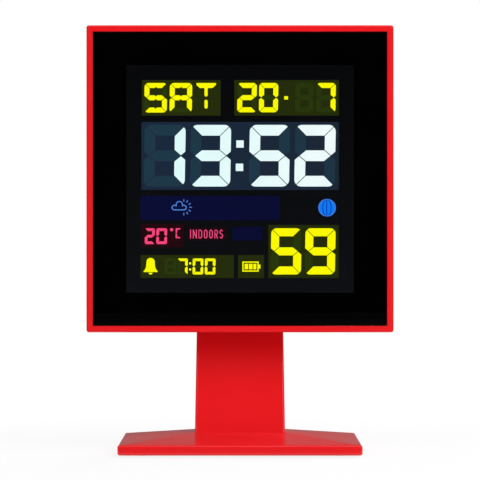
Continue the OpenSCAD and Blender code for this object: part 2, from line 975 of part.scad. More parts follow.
module battery_leads()
    color("#B02020")
        for (t = tails)
            layer(board_back, tail_u - contact_t / 2)
                translate([t[0] * (bay_l / 2 + bay_wall + tail_l - lead_d / 2), t[1]])
                    circle(d = lead_d);

// A round wire along a line that winds about the X axis.
module wire(line, d, sides) {
    n = len(line);
    rings = [for (i = [0 : n - 1])
        let (t = unit(line[min(i + 1, n - 1)] - line[max(i - 1, 0)]),
            out = [0, line[i][1], line[i][2]],
            u = unit(out - (out * t) * t),
            w = cross(t, u))
        for (k = [0 : sides - 1])
            line[i] + d / 2 * (cos(360 * k / sides) * u + sin(360 * k / sides) * w)];
    caps = [[for (k = [0 : sides - 1]) k], [for (k = [sides - 1 : -1 : 0]) (n - 1) * sides + k]];
    skin = [for (i = [0 : n - 2], k = [0 : sides - 1])
        let (a = i * sides + k, b = i * sides + (k + 1) % sides)
        [a, a + sides, b + sides, b]];
    polyhedron(rings, concat(caps, skin));
}

module contact_springs()
    color(steel)
        for (i = [-1 : 1])
            translate([0, cell_axis - head_forward, head_mid + bay_mid + i * cell_pitch])
                mirror([abs(i) == 1 ? 0 : 1, 0, 0])
                    translate([-bay_l / 2 + contact_t, 0, 0])
                        wire(spring_line, wire_d, 8);

// Half of a cell's section: a dished foot, a rolled shoulder and a raised cap.
module cell_section(r)
    polygon([[0, 0.2], [r - 1.2, 0.2], [r - 1, 0], [r - 0.3, 0], [r, 0.3], [r, cell_l - 1.6],
        [r - 0.5, cell_l - 1.2], [1.9, cell_l - 1.2], [1.9, cell_l - 0.2], [1.7, cell_l], [0, cell_l]]);

// A cell lies across the bay; the middle one faces the other way.
module cell(i)
    translate([0, cell_axis - head_forward, head_mid + bay_mid + i * cell_pitch])
        mirror([i == 0 ? 1 : 0, 0, 0])
            translate([bay_l / 2 - contact_t - cell_l, 0, 0])
                rotate([0, 90, 0])
                    rotate_extrude()
                        cell_section(cell_d / 2);

module battery(i)
    color(i == 0 ? "#3B3B40" : "#4A4A50")
        cell(i);

// The door turns on two pins at its lower edge, which is a full round.
module battery_door()
    color(red)
        difference() {
            union() {
                layer(wall_in, head_depth)
                    translate([0, (hinge_v + door_high) / 2])
                        square([door_w, door_high - hinge_v], center = true);
                layer(wall_in, head_depth)
                    translate([0, door_high + latch_l / 2 - eps])
                        square([latch_w, latch_l + 2 * eps], center = true);
                translate([-door_w / 2, hinge_u - head_forward, head_mid + hinge_v])
                    rotate([0, 90, 0])
                        cylinder(d = wall_t, h = door_w);
                translate([-door_w / 2 - pin_l, hinge_u - head_forward, head_mid + hinge_v])
                    rotate([0, 90, 0])
                        cylinder(d = pin_d, h = door_w + 2 * pin_l);
            }
            // Grip grooves below the latch.
            for (k = [0 : 3])
                layer(head_depth - 0.5, head_depth + eps)
                    translate([0, door_high - (k + 1) * groove_pitch])
                        stadium(latch_w, groove_w);
        }

// Controls

module button(i)
    color("#C81C24")
        aft(button_seat, i * button_pitch, button_row) {
            cylinder(d = button_d + 2 * flange_w, h = button_flange_t);
            rotate_extrude()
                polygon([[0, 0], [button_d / 2, 0],
                    [button_d / 2, head_depth - button_seat + button_proud - 0.5],
                    [button_d / 2 - 0.5, head_depth - button_seat + button_proud],
                    [button_d / 2 - 1.4, head_depth - button_seat + button_proud],
                    [0, head_depth - button_seat + button_proud - 0.3]]);
        }

module button_stem(i)
    color("#E8E2D0")
        aft(key_back, i * button_pitch, button_row)
            switch_plunger();

module snooze_bar() {
    top = head_half + snooze_proud;
    color("#C81C24") {
        translate([0, snooze_mid - head_forward, head_mid + snooze_under]) {
            linear_extrude(snooze_flange_t)
                square([snooze_l + 4, snooze_w + 1.4], center = true);
            soft_skin(snooze_l, snooze_w, top - snooze_under, snooze_r, snooze_edge);
            linear_extrude(top - snooze_under)
                square([snooze_l - 2 * snooze_r, snooze_w - 2 * snooze_r], center = true);
        }
        translate([0, key_back + switch_body[0] / 2 - head_forward, head_mid + snooze_stem_top])
            linear_extrude(snooze_under - snooze_stem_top + eps)
                square(snooze_rib, center = true);
    }
}

// The knob rests at the end of its slot, with the alarm on.
module at_knob()
    translate([-knob_travel / 2, 0, 0])
        children();

module alarm_knob()
    color(black)
        at_knob()
            difference() {
                union() {
                    layer(button_seat, button_seat + button_flange_t)
                        translate([knob_x, button_row])
                            square([knob_size[0] + knob_travel + 2, knob_size[1] + 3], center = true);
                    layer(button_seat, head_depth + button_proud)
                        translate([knob_x, button_row])
                            square(knob_size, center = true);
                }
                for (k = [-1 : 1])
                    layer(head_depth + button_proud - 0.4, head_depth + button_proud + eps)
                        translate([knob_x + k * 1.2, button_row])
                            square([0.5, knob_size[1] + 1], center = true);
            }

module knob_lever()
    color("#E8E2D0")
        at_knob()
            layer(key_back + 0.8, button_seat)
                translate([knob_x, button_row])
                    square(lever_w, center = true);

// Stand

module neck_slice(z, inset)
    translate([0, (neck_front(z) + neck_back(z)) / 2, z])
        linear_extrude(eps)
            rounded(neck_width(z) - 2 * inset, neck_back(z) - neck_front(z) - 2 * inset, neck_r);

// The base's hipped inside, one wall below its top face.
module base_inside() {
    x = base_w / 2 - stand_wall;
    y = base_d / 2 - stand_wall;
    n = neck_foot_w / 2;
    front = -neck_forward;
    back = neck_foot_d - neck_forward;
    low = foot_proud - 1;
    intersection() {
        translate([0, base_d, 0])
            rotate([90, 0, 0])
                linear_extrude(2 * base_d)
                    polygon([[-x, low], [x, low], [x, roof_x(x) - stand_wall], [n, base_top - stand_wall],
                        [-n, base_top - stand_wall], [-x, roof_x(x) - stand_wall]]);
        translate([-base_w, 0, 0])
            rotate([90, 0, 90])
                linear_extrude(2 * base_w)
                    polygon([[-y, low], [y, low], [y, roof_y(y) - stand_wall], [back, base_top - stand_wall],
                        [front, base_top - stand_wall], [-y, roof_y(-y) - stand_wall]]);
    }
}

module base_outside()
    hull() {
        for (x = [-1, 1], y = [-1, 1], z = [foot_proud + base_r, edge_top - base_r])
            translate([x * (base_w / 2 - base_r), y * (base_d / 2 - base_r), z])
                sphere(base_r, $fn = 32);
        translate([-neck_foot_w / 2, -neck_forward, base_top - eps])
            cube([neck_foot_w, neck_foot_d, eps]);
    }

module stand()
    color(red)
        difference() {
            union() {
                difference() {
                    base_outside();
                    base_inside();
                }
                for (x = [-1, 1], y = [-1, 1])
                    translate([x * base_boss[0], y * base_boss[1], plate_top])
                        cylinder(d = base_boss_d,
                            h = roof_x(base_boss[0] + base_boss_d / 2) - 0.5 - plate_top);
                hull() {
                    neck_slice(base_top - stand_wall / 2, 0);
                    neck_slice(head_lift - eps, 0);
                }
                translate([-tongue_w / 2, tongue_front, head_lift - stand_wall])
                    cube([tongue_w, tongue_back - tongue_front, stand_wall + tongue_h]);
            }
            hull() {
                neck_slice(base_top - 2 * stand_wall, stand_wall);
                neck_slice(head_lift - 2 * stand_wall, stand_wall);
            }
            for (x = [-1, 1], y = [-1, 1])
                translate([x * base_boss[0], y * base_boss[1], plate_top - eps])
                    cylinder(d = small_screw[0] + 2 * pin_gap, h = base_screw_l + 0.2);
            for (s = [-1, 1])
                translate([s * tongue_screw[0], tongue_back + eps, tongue_screw[1]])
                    rotate([90, 0, 0])
                        cylinder(d = case_screw[0] + 2 * pin_gap, h = tongue_back - tongue_front - 0.8);
        }

module tongue_screws()
    color(steel)
        for (s = [-1, 1])
            aft(tongue_seat, s * tongue_screw[0], tongue_screw[1] - head_mid)
                screw(case_screw, tongue_seat - head_forward - tongue_front - 1.2);

module base_plate()
    color("#2A2A2C")
        difference() {
            translate([0, 0, plate_low])
                linear_extrude(plate_t)
                    rounded(base_w - 2 * stand_wall - 2 * seat_gap,
                        base_d - 2 * stand_wall - 2 * seat_gap, 1);
            for (x = [-1, 1], y = [-1, 1])
                translate([x * base_boss[0], y * base_boss[1], plate_low - eps])
                    cylinder(d = small_screw[0] + 2 * pin_gap, h = plate_t + 1);
            for (x = [-1, 1], y = [-1, 1])
                translate([x * base_boss[0], y * base_boss[1], plate_low - eps])
                    cylinder(d1 = small_screw[1] + 2 * seat_gap, d2 = small_screw[0] + 2 * pin_gap,
                        h = sink_h + eps);
        }

// Countersunk screws, flush with the plate's underside.
module base_screws()
    color(steel)
        for (x = [-1, 1], y = [-1, 1])
            translate([x * base_boss[0], y * base_boss[1], plate_low])
                difference() {
                    union() {
                        cylinder(d1 = small_screw[1] - 0.1, d2 = small_screw[0], h = sink_h);
                        cylinder(d = small_screw[0], h = plate_t + base_screw_l - 0.2);
                    }
                    for (a = [0, 90])
                        rotate(a)
                            translate([-small_screw[0] / 2, -small_screw[0] / 8, -eps])
                                cube([small_screw[0], small_screw[0] / 4, sink_h / 2]);
                }

// A steel bar as wide and deep as the hipped roof leaves room for.
module base_weight() {
    need = (plate_top + weight_t + move_gap + stand_wall - edge_top) / base_rise;
    half = base_w / 2 - side_run * need;
    front = -base_d / 2 + front_run * need;
    back = base_d / 2 - back_run * need;
    color("#6F7276")
        translate([0, (front + back) / 2, plate_top])
            linear_extrude(weight_t)
                rounded(2 * min(half, base_boss[0] - base_boss_d), back - front, 2);
}

module feet()
    color("#1A1A1A")
        for (x = [-1, 1], y = [-1, 1])
            translate([x * (base_w / 2 - foot_d), y * (base_d / 2 - 1.5 * foot_d), 0])
                rotate_extrude()
                    polygon([[0, 0], [foot_d / 2 - 0.3, 0], [foot_d / 2, 0.3], [foot_d / 2, plate_low],
                        [0, plate_low]]);

front_frame();
front_lens();
lens_mask();
lcd_holder();
holder_screws();
lcd_glass();
diffuser_film();
colour_film();
light_guide();
reflector_film();
zebra_connectors();
backlight_leds();
main_board();
board_screws();
controller_blob();
quartz_crystal();
capacitor();
back_cover();
case_screws();
key_board();
key_screws();
key_switches();
snooze_switch();
slide_switch();
temperature_sensor();
ribbon_cable();
sounder();
power_socket();
socket_board();
socket_screws();
power_leads();
contact_plates();
contact_springs();
battery_leads();
battery(1);  // battery_1
battery(0);  // battery_2
battery(-1);  // battery_3
snooze_bar();
snooze_stem();
button(-2);  // button_1
button(-1);  // button_2
button(0);  // button_3
button(1);  // button_4
button(2);  // button_5
button_stem(-2);  // button_stem_1
button_stem(-1);  // button_stem_2
button_stem(0);  // button_stem_3
button_stem(1);  // button_stem_4
button_stem(2);  // button_stem_5
alarm_knob();
knob_lever();
battery_door();
stand();
tongue_screws();
base_plate();
base_screws();
base_weight();
feet();
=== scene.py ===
"""A digital alarm clock: a square head with a lit colour display on a leaning neck and a hipped base."""

import json
import math

import bmesh
import bpy
from mathutils import Matrix, Vector


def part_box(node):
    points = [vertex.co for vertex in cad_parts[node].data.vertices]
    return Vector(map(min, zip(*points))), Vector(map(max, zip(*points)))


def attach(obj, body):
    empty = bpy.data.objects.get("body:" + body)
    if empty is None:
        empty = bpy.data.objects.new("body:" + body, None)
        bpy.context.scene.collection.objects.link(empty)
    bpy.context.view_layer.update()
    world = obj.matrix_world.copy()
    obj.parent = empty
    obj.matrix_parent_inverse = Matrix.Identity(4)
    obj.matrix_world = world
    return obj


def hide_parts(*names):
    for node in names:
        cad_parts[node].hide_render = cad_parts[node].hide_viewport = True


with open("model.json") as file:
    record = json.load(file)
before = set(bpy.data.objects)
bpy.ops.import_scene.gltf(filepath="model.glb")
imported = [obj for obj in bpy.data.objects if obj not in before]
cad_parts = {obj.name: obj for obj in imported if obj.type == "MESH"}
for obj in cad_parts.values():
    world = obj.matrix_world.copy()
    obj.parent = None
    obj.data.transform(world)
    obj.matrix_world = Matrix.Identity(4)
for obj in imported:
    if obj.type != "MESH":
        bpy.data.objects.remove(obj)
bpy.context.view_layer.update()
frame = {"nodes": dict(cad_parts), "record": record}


# Stand: the hipped base and the leaning neck are one hollow moulding of red ABS, polished in the tool.
# A tongue at its top goes up into the head, where two screws hold it from behind.
MM = 0.001
ABS_IOR = 1.5
FLOW_MM = 45
GLOSS_SPREAD = 0.15
MERGE_MM = 0.002
FLAT_DEGREES, EDGE_DEGREES, SHARP_DEGREES = 0.1, 38, 30
LARGE_FLAT, LARGE_FLAT_DEGREES = 40 * MM * MM, 2


def linear(colour):
    """An sRGB hex colour as linear red, green and blue, and full cover."""
    parts = [int(colour[i:i + 2], 16) / 255 for i in (1, 3, 5)]
    return [p / 12.92 if p < 0.04045 else ((p + 0.055) / 1.055) ** 2.4 for p in parts] + [1]


def add(finish, kind, settings, links=None):
    """Adds a node to a finish, with its own settings and what feeds its sockets."""
    node = finish.node_tree.nodes.new("ShaderNode" + kind)
    for name, value in settings.items():
        if isinstance(name, int) or name in node.inputs:
            node.inputs[name].default_value = value
        else:
            setattr(node, name, value)
    for name, (source, output) in (links or {}).items():
        finish.node_tree.links.new(source.outputs[output], node.inputs[name])
    return node


def empty_finish(name):
    """A finish with no nodes yet but the piece's own coordinates."""
    finish = bpy.data.materials.new(name)
    finish.use_nodes = True
    finish.node_tree.nodes.clear()
    return finish, add(finish, "TexCoord", {})


def moulded(name, colour, deeper, gloss, grain_mm, depth_mm, sockets=None):
    """Moulded plastic or rubber: its flow shades the colour a little, and the tool's skin gives its grain."""
    finish, place = empty_finish(name)
    spot = {"Vector": (place, "Object")}
    flow = add(finish, "TexNoise", {"Scale": 1 / (FLOW_MM * MM), "Detail": 2}, spot)
    tint = add(finish, "Mix", {"data_type": "RGBA", 6: linear(colour), 7: linear(deeper)}, {0: (flow, 0)})
    skin = add(finish, "TexNoise", {"Scale": 1 / (grain_mm * MM), "Detail": 3}, spot)
    rough = add(finish, "MapRange",
                {"To Min": gloss * (1 - GLOSS_SPREAD), "To Max": gloss * (1 + GLOSS_SPREAD)},
                {"Value": (skin, 0)})
    relief = add(finish, "Bump", {"Distance": depth_mm * MM}, {"Height": (skin, 0)})
    shader = add(finish, "BsdfPrincipled", {"IOR": ABS_IOR, **(sockets or {})},
                 {"Base Color": (tint, 2), "Roughness": (rough, 0), "Normal": (relief, 0)})
    add(finish, "OutputMaterial", {}, {"Surface": (shader, 0)})
    return finish


def dressed(node, finish, broken_mm=0, where=None):
    """A solid with closed corners, shaded smooth round its curves, and its outer edges broken where asked."""
    mesh = frame["nodes"][node].data.copy()
    if "custom_normal" in mesh.attributes:
        mesh.attributes.remove(mesh.attributes["custom_normal"])
    shape = bmesh.new()
    shape.from_mesh(mesh)
    bmesh.ops.remove_doubles(shape, verts=shape.verts, dist=MERGE_MM * MM)
    bmesh.ops.dissolve_limit(shape, angle_limit=math.radians(FLAT_DEGREES), verts=shape.verts,
                             edges=shape.edges)
    if broken_mm:
        edges = [e for e in shape.edges
                 if e.is_manifold and e.calc_face_angle_signed() > math.radians(EDGE_DEGREES)
                 and where((e.verts[0].co + e.verts[1].co) / 2)]
        bmesh.ops.bevel(shape, geom=edges, offset=broken_mm * MM, segments=2, profile=0.5, affect="EDGES",
                        clamp_overlap=False, material=-1)
    for face in shape.faces:
        face.smooth = True
    # An edge stays crisp where it turns sharply, or where it parts two large flat faces.
    for edge in shape.edges:
        turn = edge.calc_face_angle(0)
        parts_flats = (turn > math.radians(LARGE_FLAT_DEGREES)
                       and min(face.calc_area() for face in edge.link_faces) > LARGE_FLAT)
        edge.smooth = not (turn > math.radians(SHARP_DEGREES) or parts_flats)
    shape.to_mesh(mesh)
    shape.free()
    mesh.materials.clear()
    mesh.materials.append(finish)
    piece = bpy.data.objects.new(node + "_finished", mesh)
    bpy.context.scene.collection.objects.link(piece)
    piece.modifiers.new("even_flats", "WEIGHTED_NORMAL").keep_sharp = True
    bodies = frame["record"]["behaviour"]["bodies"]
    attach(piece, next(body for body, nodes in bodies.items() if node in nodes))
    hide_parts(node)
    return piece


# High-gloss ABS: an even, saturated red with a crisp sheen and a trace of orange peel.
red_abs = moulded("high-gloss red ABS", "#E4171D", "#DC131A", gloss=0.17, grain_mm=1.6, depth_mm=0.004)
dressed("stand", red_abs)


# Base plate: a black ABS cover with a spark-eroded face, let into the underside and held by four screws.
# A rolled steel bar lies on it and keeps the clock from tipping.
PLATE_EDGE_MM = 0.3
PLATE_FACE = 1.11 * MM
# Spark-eroded ABS: a dull black that scatters every highlight, with its pits drawn coarser than life.
black_abs = moulded("spark-eroded black ABS", "#1C1C1E", "#171718", gloss=0.55, grain_mm=0.5, depth_mm=0.03)
dressed("base_plate", black_abs, PLATE_EDGE_MM, lambda p: p.z < PLATE_FACE)

SCRATCH_STRETCH = 12
SCRATCH_SPREAD, SCRATCH_RELIEF, SCRATCH_DEPTH_MM = 0.3, 0.3, 0.01


def coat(finish, *nodes):
    """Gives solids that keep their own shape a finish."""
    for node in nodes:
        for place in frame["nodes"][node].material_slots:
            place.material = finish


def plated(name, colour, deeper, gloss, scratch_mm):
    """Metal: a bright skin, with fine scratches drawn coarser than life so that they show."""
    finish, place = empty_finish(name)
    drawn = add(finish, "Mapping", {"Scale": (1, 1, SCRATCH_STRETCH)}, {"Vector": (place, "Object")})
    scratch = add(finish, "TexNoise", {"Scale": 1 / (scratch_mm * MM), "Detail": 4}, {"Vector": (drawn, 0)})
    tint = add(finish, "Mix", {"data_type": "RGBA", 6: linear(colour), 7: linear(deeper)}, {0: (scratch, 0)})
    rough = add(finish, "MapRange",
                {"To Min": gloss * (1 - SCRATCH_SPREAD), "To Max": gloss * (1 + SCRATCH_SPREAD)},
                {"Value": (scratch, 0)})
    relief = add(finish, "Bump", {"Strength": SCRATCH_RELIEF, "Distance": SCRATCH_DEPTH_MM * MM},
                 {"Height": (scratch, 0)})
    shader = add(finish, "BsdfPrincipled", {"Metallic": 1},
                 {"Base Color": (tint, 2), "Roughness": (rough, 0), "Normal": (relief, 0)})
    add(finish, "OutputMaterial", {}, {"Surface": (shader, 0)})
    return finish


# Rolled steel: a dark grey metal with a broad, streaked sheen.
rolled_steel = plated("rolled mild steel", "#6E7176", "#5C5F63", gloss=0.45, scratch_mm=6)
coat(rolled_steel, "base_weight")
# Nickel plate: a bright, slightly warm metal with hairline scratches.
nickel_steel = plated("nickel-plated steel", "#C9CBCE", "#B4B7BB", gloss=0.22, scratch_mm=3)
dressed("base_screws", nickel_steel)


# Feet: four round pads of black rubber, stuck under the corners of the base plate.
# They carry the clock and keep it from sliding.
# Soft rubber: a matt near-black with no clear highlight.
foot_rubber = moulded("soft black rubber", "#161616", "#1D1D1D", gloss=0.8, grain_mm=0.8, depth_mm=0.04)
dressed("feet", foot_rubber)


# Front frame: a deep square bezel of the same red ABS, whose front edge is rounded over all round.
# Inside, a ledge carries the lens and four bosses take the case screws.
HEAD_MID = 107.5 * MM
SKIN = 59.95 * MM
FRAME_EDGE_MM = 0.15
FRAME_FRONT, FRAME_BACK = -13.9 * MM, 3.9 * MM


def on_skin(p):
    """Whether a point lies on the head's outer side walls."""
    return max(abs(p.x), abs(p.z - HEAD_MID)) > SKIN


def on_frame_edge(p):
    """Whether a point lies on the frame's front or on its seam with the back cover."""
    return p.y < FRAME_FRONT or (on_skin(p) and p.y > FRAME_BACK)


dressed("front_frame", red_abs, FRAME_EDGE_MM, on_frame_edge)


# Lens: a polished sheet of clear acrylic, dropped into the frame with its edges lightly broken.
# A black border is printed on a film behind it, and leaves a square window for the display.
LENS_EDGE_MM = 0.15
LENS_FRONT = -13.5 * MM
HAZE_MM, HAZE = 20, 0.015
ACRYLIC_IOR = 1.49
# Polished acrylic: seen only by its crisp reflections and the bright line of its broken edge.
lens_clear, place = empty_finish("polished clear acrylic")
haze = add(lens_clear, "TexNoise", {"Scale": 1 / (HAZE_MM * MM), "Detail": 2}, {"Vector": (place, "Object")})
rough = add(lens_clear, "MapRange", {"To Min": 0.0, "To Max": HAZE}, {"Value": (haze, 0)})
shader = add(lens_clear, "BsdfPrincipled",
             {"Base Color": linear("#FBFBFB"), "IOR": ACRYLIC_IOR, "Transmission Weight": 1},
             {"Roughness": (rough, 0)})
add(lens_clear, "OutputMaterial", {}, {"Surface": (shader, 0)})
lens = dressed("front_lens", lens_clear, LENS_EDGE_MM, lambda p: p.y < LENS_FRONT)
# A hair of air keeps the back of the sheet off the film.
AIR = 0.02 * MM
film_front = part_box("lens_mask")[0].y
for vertex in lens.data.vertices:
    if vertex.co.y > film_front - AIR / 2:
        vertex.co.y -= AIR

# Screen ink: an even, deep black with almost no sheen, as the sheet in front of it takes the reflections.
border_print = moulded("screen-printed black ink", "#020202", "#030303", gloss=0.5, grain_mm=0.4,
                       depth_mm=0.002, sockets={"Specular IOR Level": 0.03})
coat(border_print, "lens_mask")


# Display: two bonded glasses with the liquid crystal between them, seen dark with a trace of backlight.
# Tinted fields, faint idle segments and lit segments lie just under the face, each a hair above the last.
# All places on it are in millimetres from its middle, to the right and up.
glass_low, glass_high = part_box("lcd_glass")
DISPLAY_MIDDLE = (0, (glass_low.z + glass_high.z) / 2)
FIELD_UP, IDLE_UP, LIT_UP = 0.04 * MM, 0.07 * MM, 0.1 * MM
SUNK = 0.01 * MM
GLASS_IOR, GLASS_GLOSS = 1.5, 0.12
LEAK_AT_FOOT, LEAK_AT_TOP = 1.0, 0.45

# Display glass: almost black, with a trace of backlight that grows towards its foot.
display_dark, place = empty_finish("dark display glass")
split = add(display_dark, "SeparateXYZ", {}, {"Vector": (place, "Object")})
leak = add(display_dark, "MapRange",
           {"From Min": glass_low.z, "From Max": glass_high.z, "To Min": LEAK_AT_FOOT, "To Max": LEAK_AT_TOP},
           {"Value": (split, "Z")})
shader = add(display_dark, "BsdfPrincipled",
             {"Base Color": linear("#040405"), "Roughness": GLASS_GLOSS, "IOR": GLASS_IOR,
              "Emission Color": linear("#101114")}, {"Emission Strength": (leak, 0)})
add(display_dark, "OutputMaterial", {}, {"Surface": (shader, 0)})
coat(display_dark, "lcd_glass")

LAMPS_X = 40 * MM
MOTTLE_MM = 6
DIMMEST, BRIGHTEST = 1.03, 1.13


def glowing(name, left, right):
    """A lit colour: the side lamps shift it a little from left to right, and the diffuser mottles it."""
    finish, place = empty_finish(name)
    split = add(finish, "SeparateXYZ", {}, {"Vector": (place, "Object")})
    across = add(finish, "MapRange", {"From Min": -LAMPS_X, "From Max": LAMPS_X}, {"Value": (split, "X")})
    tint = add(finish, "Mix", {"data_type": "RGBA", 6: linear(left), 7: linear(right)}, {0: (across, 0)})
    mottle = add(finish, "TexNoise", {"Scale": 1 / (MOTTLE_MM * MM), "Detail": 2},
                 {"Vector": (place, "Object")})
    power = add(finish, "MapRange", {"To Min": DIMMEST, "To Max": BRIGHTEST}, {"Value": (mottle, 0)})
    shader = add(finish, "BsdfPrincipled", {"Base Color": linear("#000000"), "Specular IOR Level": 0},
                 {"Emission Color": (tint, 2), "Emission Strength": (power, 0)})
    add(finish, "OutputMaterial", {}, {"Surface": (shader, 0)})
    return finish


def plate(shape, outline, up, face=glass_low.y, middle=DISPLAY_MIDDLE):
    """Adds a thin plate, outlined in millimetres about a middle, that stands this far forward of a face."""
    corners = [shape.verts.new((middle[0] + x * MM, face - up, middle[1] + z * MM)) for x, z in outline]
    grown = bmesh.ops.extrude_face_region(shape, geom=[shape.faces.new(corners)])["geom"]
    deep = (0, up + math.copysign(SUNK, up), 0)
    bmesh.ops.translate(shape, vec=deep, verts=[v for v in grown if isinstance(v, bmesh.types.BMVert)])


def lay(name, shape, finish):
    """Makes plates and lines into one piece that rides on the case."""
    bmesh.ops.recalc_face_normals(shape, faces=shape.faces)
    mesh = bpy.data.meshes.new(name)
    shape.to_mesh(mesh)
    shape.free()
    mesh.materials.append(finish)
    piece = bpy.data.objects.new(name, mesh)
    bpy.context.scene.collection.objects.link(piece)
    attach(piece, "clock")


def oblong(left, right, low, high):
    """The outline of an upright oblong from its four edges."""
    return [(left, low), (right, low), (right, high), (left, high)]


def arc(x, z, radius, start, stop, steps=4):
    """Points round a part of a circle, in degrees."""
    angles = [math.radians(start + (stop - start) * i / steps) for i in range(steps + 1)]
    return [(x + radius * math.cos(a), z + radius * math.sin(a)) for a in angles]


# Tinted fields: left, right, low and high edges.
# Each gives a dim, even glow in the hue of the film behind it.
ROW_1, ROW_2, ROW_5 = (24.8, 38.7), (-4.3, 22.3), (-38.8, -29.8)
fields = {
    "olive": [(-38.4, -7.6, *ROW_1), (-2.2, 38.7, *ROW_1), (-38.9, -2.4, *ROW_5), (-0.8, 9.4, *ROW_5),
              (11.1, 38.7, -38.8, -18.0)],
    "slate": [(-38.6, 38.7, *ROW_2)],
    "navy": [(-38.9, 15.6, -16.2, -6.6), (-2.9, 8.6, -24.1, -18.8)],
    "wine": [(-38.6, -22.1, -26.7, -17.6), (-20.3, -5.8, -24.0, -19.1)],
}
field_tints = {"olive": ("#272F0E", "#232C0C"), "slate": ("#1C2A3E", "#1C2836"),
               "navy": ("#0C0F35", "#0A0D30"), "wine": ("#250A11", "#1E090F")}
for hue, boxes in fields.items():
    shape = bmesh.new()
    for box in boxes:
        plate(shape, oblong(*box), FIELD_UP)
    lay("display_field_" + hue, shape, glowing(hue + " backlit field", *field_tints[hue]))

# Seven-segment figures: mitred bars with a hairline between them and rounded outer corners.
# The points where the bars meet at mid-height lie nearer to the outside than to the middle of the stroke.
TIP_SHARE = 0.4
LEAN = math.tan(math.radians(1))
BARS = {"0": "abcdef", "1": "bc", "2": "abged", "3": "abgcd", "5": "afgcd", "7": "abc", "9": "abcdfg",
        "S": "afgcd", "A": "abcefg", "C": "adef"}


def bars(left, right, low, high, stroke, gap, bend, notch):
    """The seven bars of a figure, each as an outline; a notch dents the three level bars at their middle."""
    width, height, cut = right - left, high - low, gap / math.sqrt(2)
    mid, waist, half = width / 2, height / 2, stroke / 2
    dent = [(mid + notch, 0), (mid, notch), (mid - notch, 0)] if notch else []
    under = height - stroke
    top = [(x + cut, z) for x, z in arc(bend, height - bend, bend, 135, 90)]
    top += [(x - cut, z) for x, z in arc(width - bend, height - bend, bend, 90, 45)]
    top += [(width - stroke - cut, under), *((x, under + z) for x, z in dent), (stroke + cut, under)]
    tip = TIP_SHARE * stroke
    shoulder = tip * half / (stroke - tip)
    side = [(x, z - cut) for x, z in arc(width - bend, height - bend, bend, 45, 0)]
    side += [(width, waist + shoulder + cut), (width - tip, waist + cut),
             (width - stroke, waist + half + cut), (width - stroke, under - cut)]
    ridge = [(tip + cut, 0), (stroke + cut, half), *((x, half - z) for x, z in reversed(dent)),
             (width - stroke - cut, half), (width - tip - cut, 0)]
    middle = [(x, waist + z) for x, z in ridge] + [(x, waist - z) for x, z in ridge[-2:0:-1]]

    def across(outline):
        return [(width - x, z) for x, z in outline]

    def over(outline):
        return [(x, height - z) for x, z in outline]

    found = {"a": top, "b": side, "c": over(side), "d": over(top), "e": across(over(side)),
             "f": across(side), "g": middle}
    return {bar: [(left + x + (z - waist) * LEAN, low + z) for x, z in outline]
            for bar, outline in found.items()}


# Each row of figures: low and high edge, stroke, hairline, corner radius, notch, lit colour, idle tint,
# and the figures with their left and right edges; a space has idle segments only.
rows = [
    (26.0, 37.57, 1.97, 0.18, 1.4, 0.5, "yellow", "olive", [("S", -37.44, -28.56), ("A", -27.54, -18.76)]),
    (26.1, 37.58, 1.97, 0.16, 1.3, 0, "yellow", "olive",
     [("2", -1.04, 6.54), ("0", 7.46, 14.94), (" ", 21.6, 28.8), ("7", 29.86, 37.46)]),
    (-2.97, 21.16, 4.19, 0.29, 2.4, 0, "white", "slate",
     [("1", -37.5, -21.45), ("3", -19.4, -3.65), ("5", 3.65, 19.4), ("2", 21.45, 37.3)]),
    (-25.5, -19.3, 1.08, 0.1, 0.5, 0, "pink", None, [("2", -37.25, -33.35), ("0", -32.75, -28.55)]),
    (-23.2, -19.3, 0.58, 0.03, 0.2, 0, "pink", None, [("C", -25.2, -23.2)]),
    (-37.4, -31.1, 1.06, 0.08, 0.5, 0, "yellow", "olive",
     [(" ", -29.4, -25.0), ("7", -24.5, -20.46), ("0", -18.55, -14.38), ("0", -13.77, -9.61)]),
    (-37.4, -19.3, 3.15, 0.22, 1.9, 0, "yellow", "olive", [("5", 12.1, 24.0), ("9", 25.5, 37.3)]),
]
lit = {colour: bmesh.new() for colour in ("white", "yellow", "pink", "blue")}
idle = {hue: bmesh.new() for hue in ("olive", "slate")}
for low, high, stroke, gap, bend, notch, colour, hue, figures in rows:
    for figure, left, right in figures:
        for bar, outline in bars(left, right, low, high, stroke, gap, bend, notch).items():
            if bar in BARS.get(figure, ""):
                plate(lit[colour], outline, LIT_UP)
            elif hue:
                plate(idle[hue], outline, IDLE_UP)
# Idle segments: one shade above their field, so that they are only just made out.
lay("display_idle_olive", idle["olive"], glowing("idle olive segments", "#2B390E", "#29370D"))
lay("display_idle_slate", idle["slate"], glowing("idle slate segments", "#203A4A", "#1F3646"))

# The T of the weekday: a bar with cut corners, and an upright in two halves.
T_LEFT, T_RIGHT, T_CUT = -13.9, -12.65, 0.4
FOOT_LEFT, FOOT_RIGHT = -13.55, -13.0
bar = [(-17.05, 37.56), (-9.42, 37.56), (-9.42, 36.85), (-10.75, 35.6), (-15.7, 35.6), (-17.05, 36.75)]
plate(lit["yellow"], bar, LIT_UP)
square_head = [(T_RIGHT, 35.6), (T_LEFT, 35.6)]
cut_head = [(T_RIGHT, 30.6), (T_RIGHT - T_CUT, 31.0), (T_LEFT + T_CUT, 31.0), (T_LEFT, 30.6)]
for foot, head in ((32.3, square_head), (27.58, cut_head)):
    cut_foot = [(T_LEFT, foot + T_CUT), (FOOT_LEFT, foot), (FOOT_RIGHT, foot), (T_RIGHT, foot + T_CUT)]
    plate(lit["yellow"], cut_foot + head, LIT_UP)

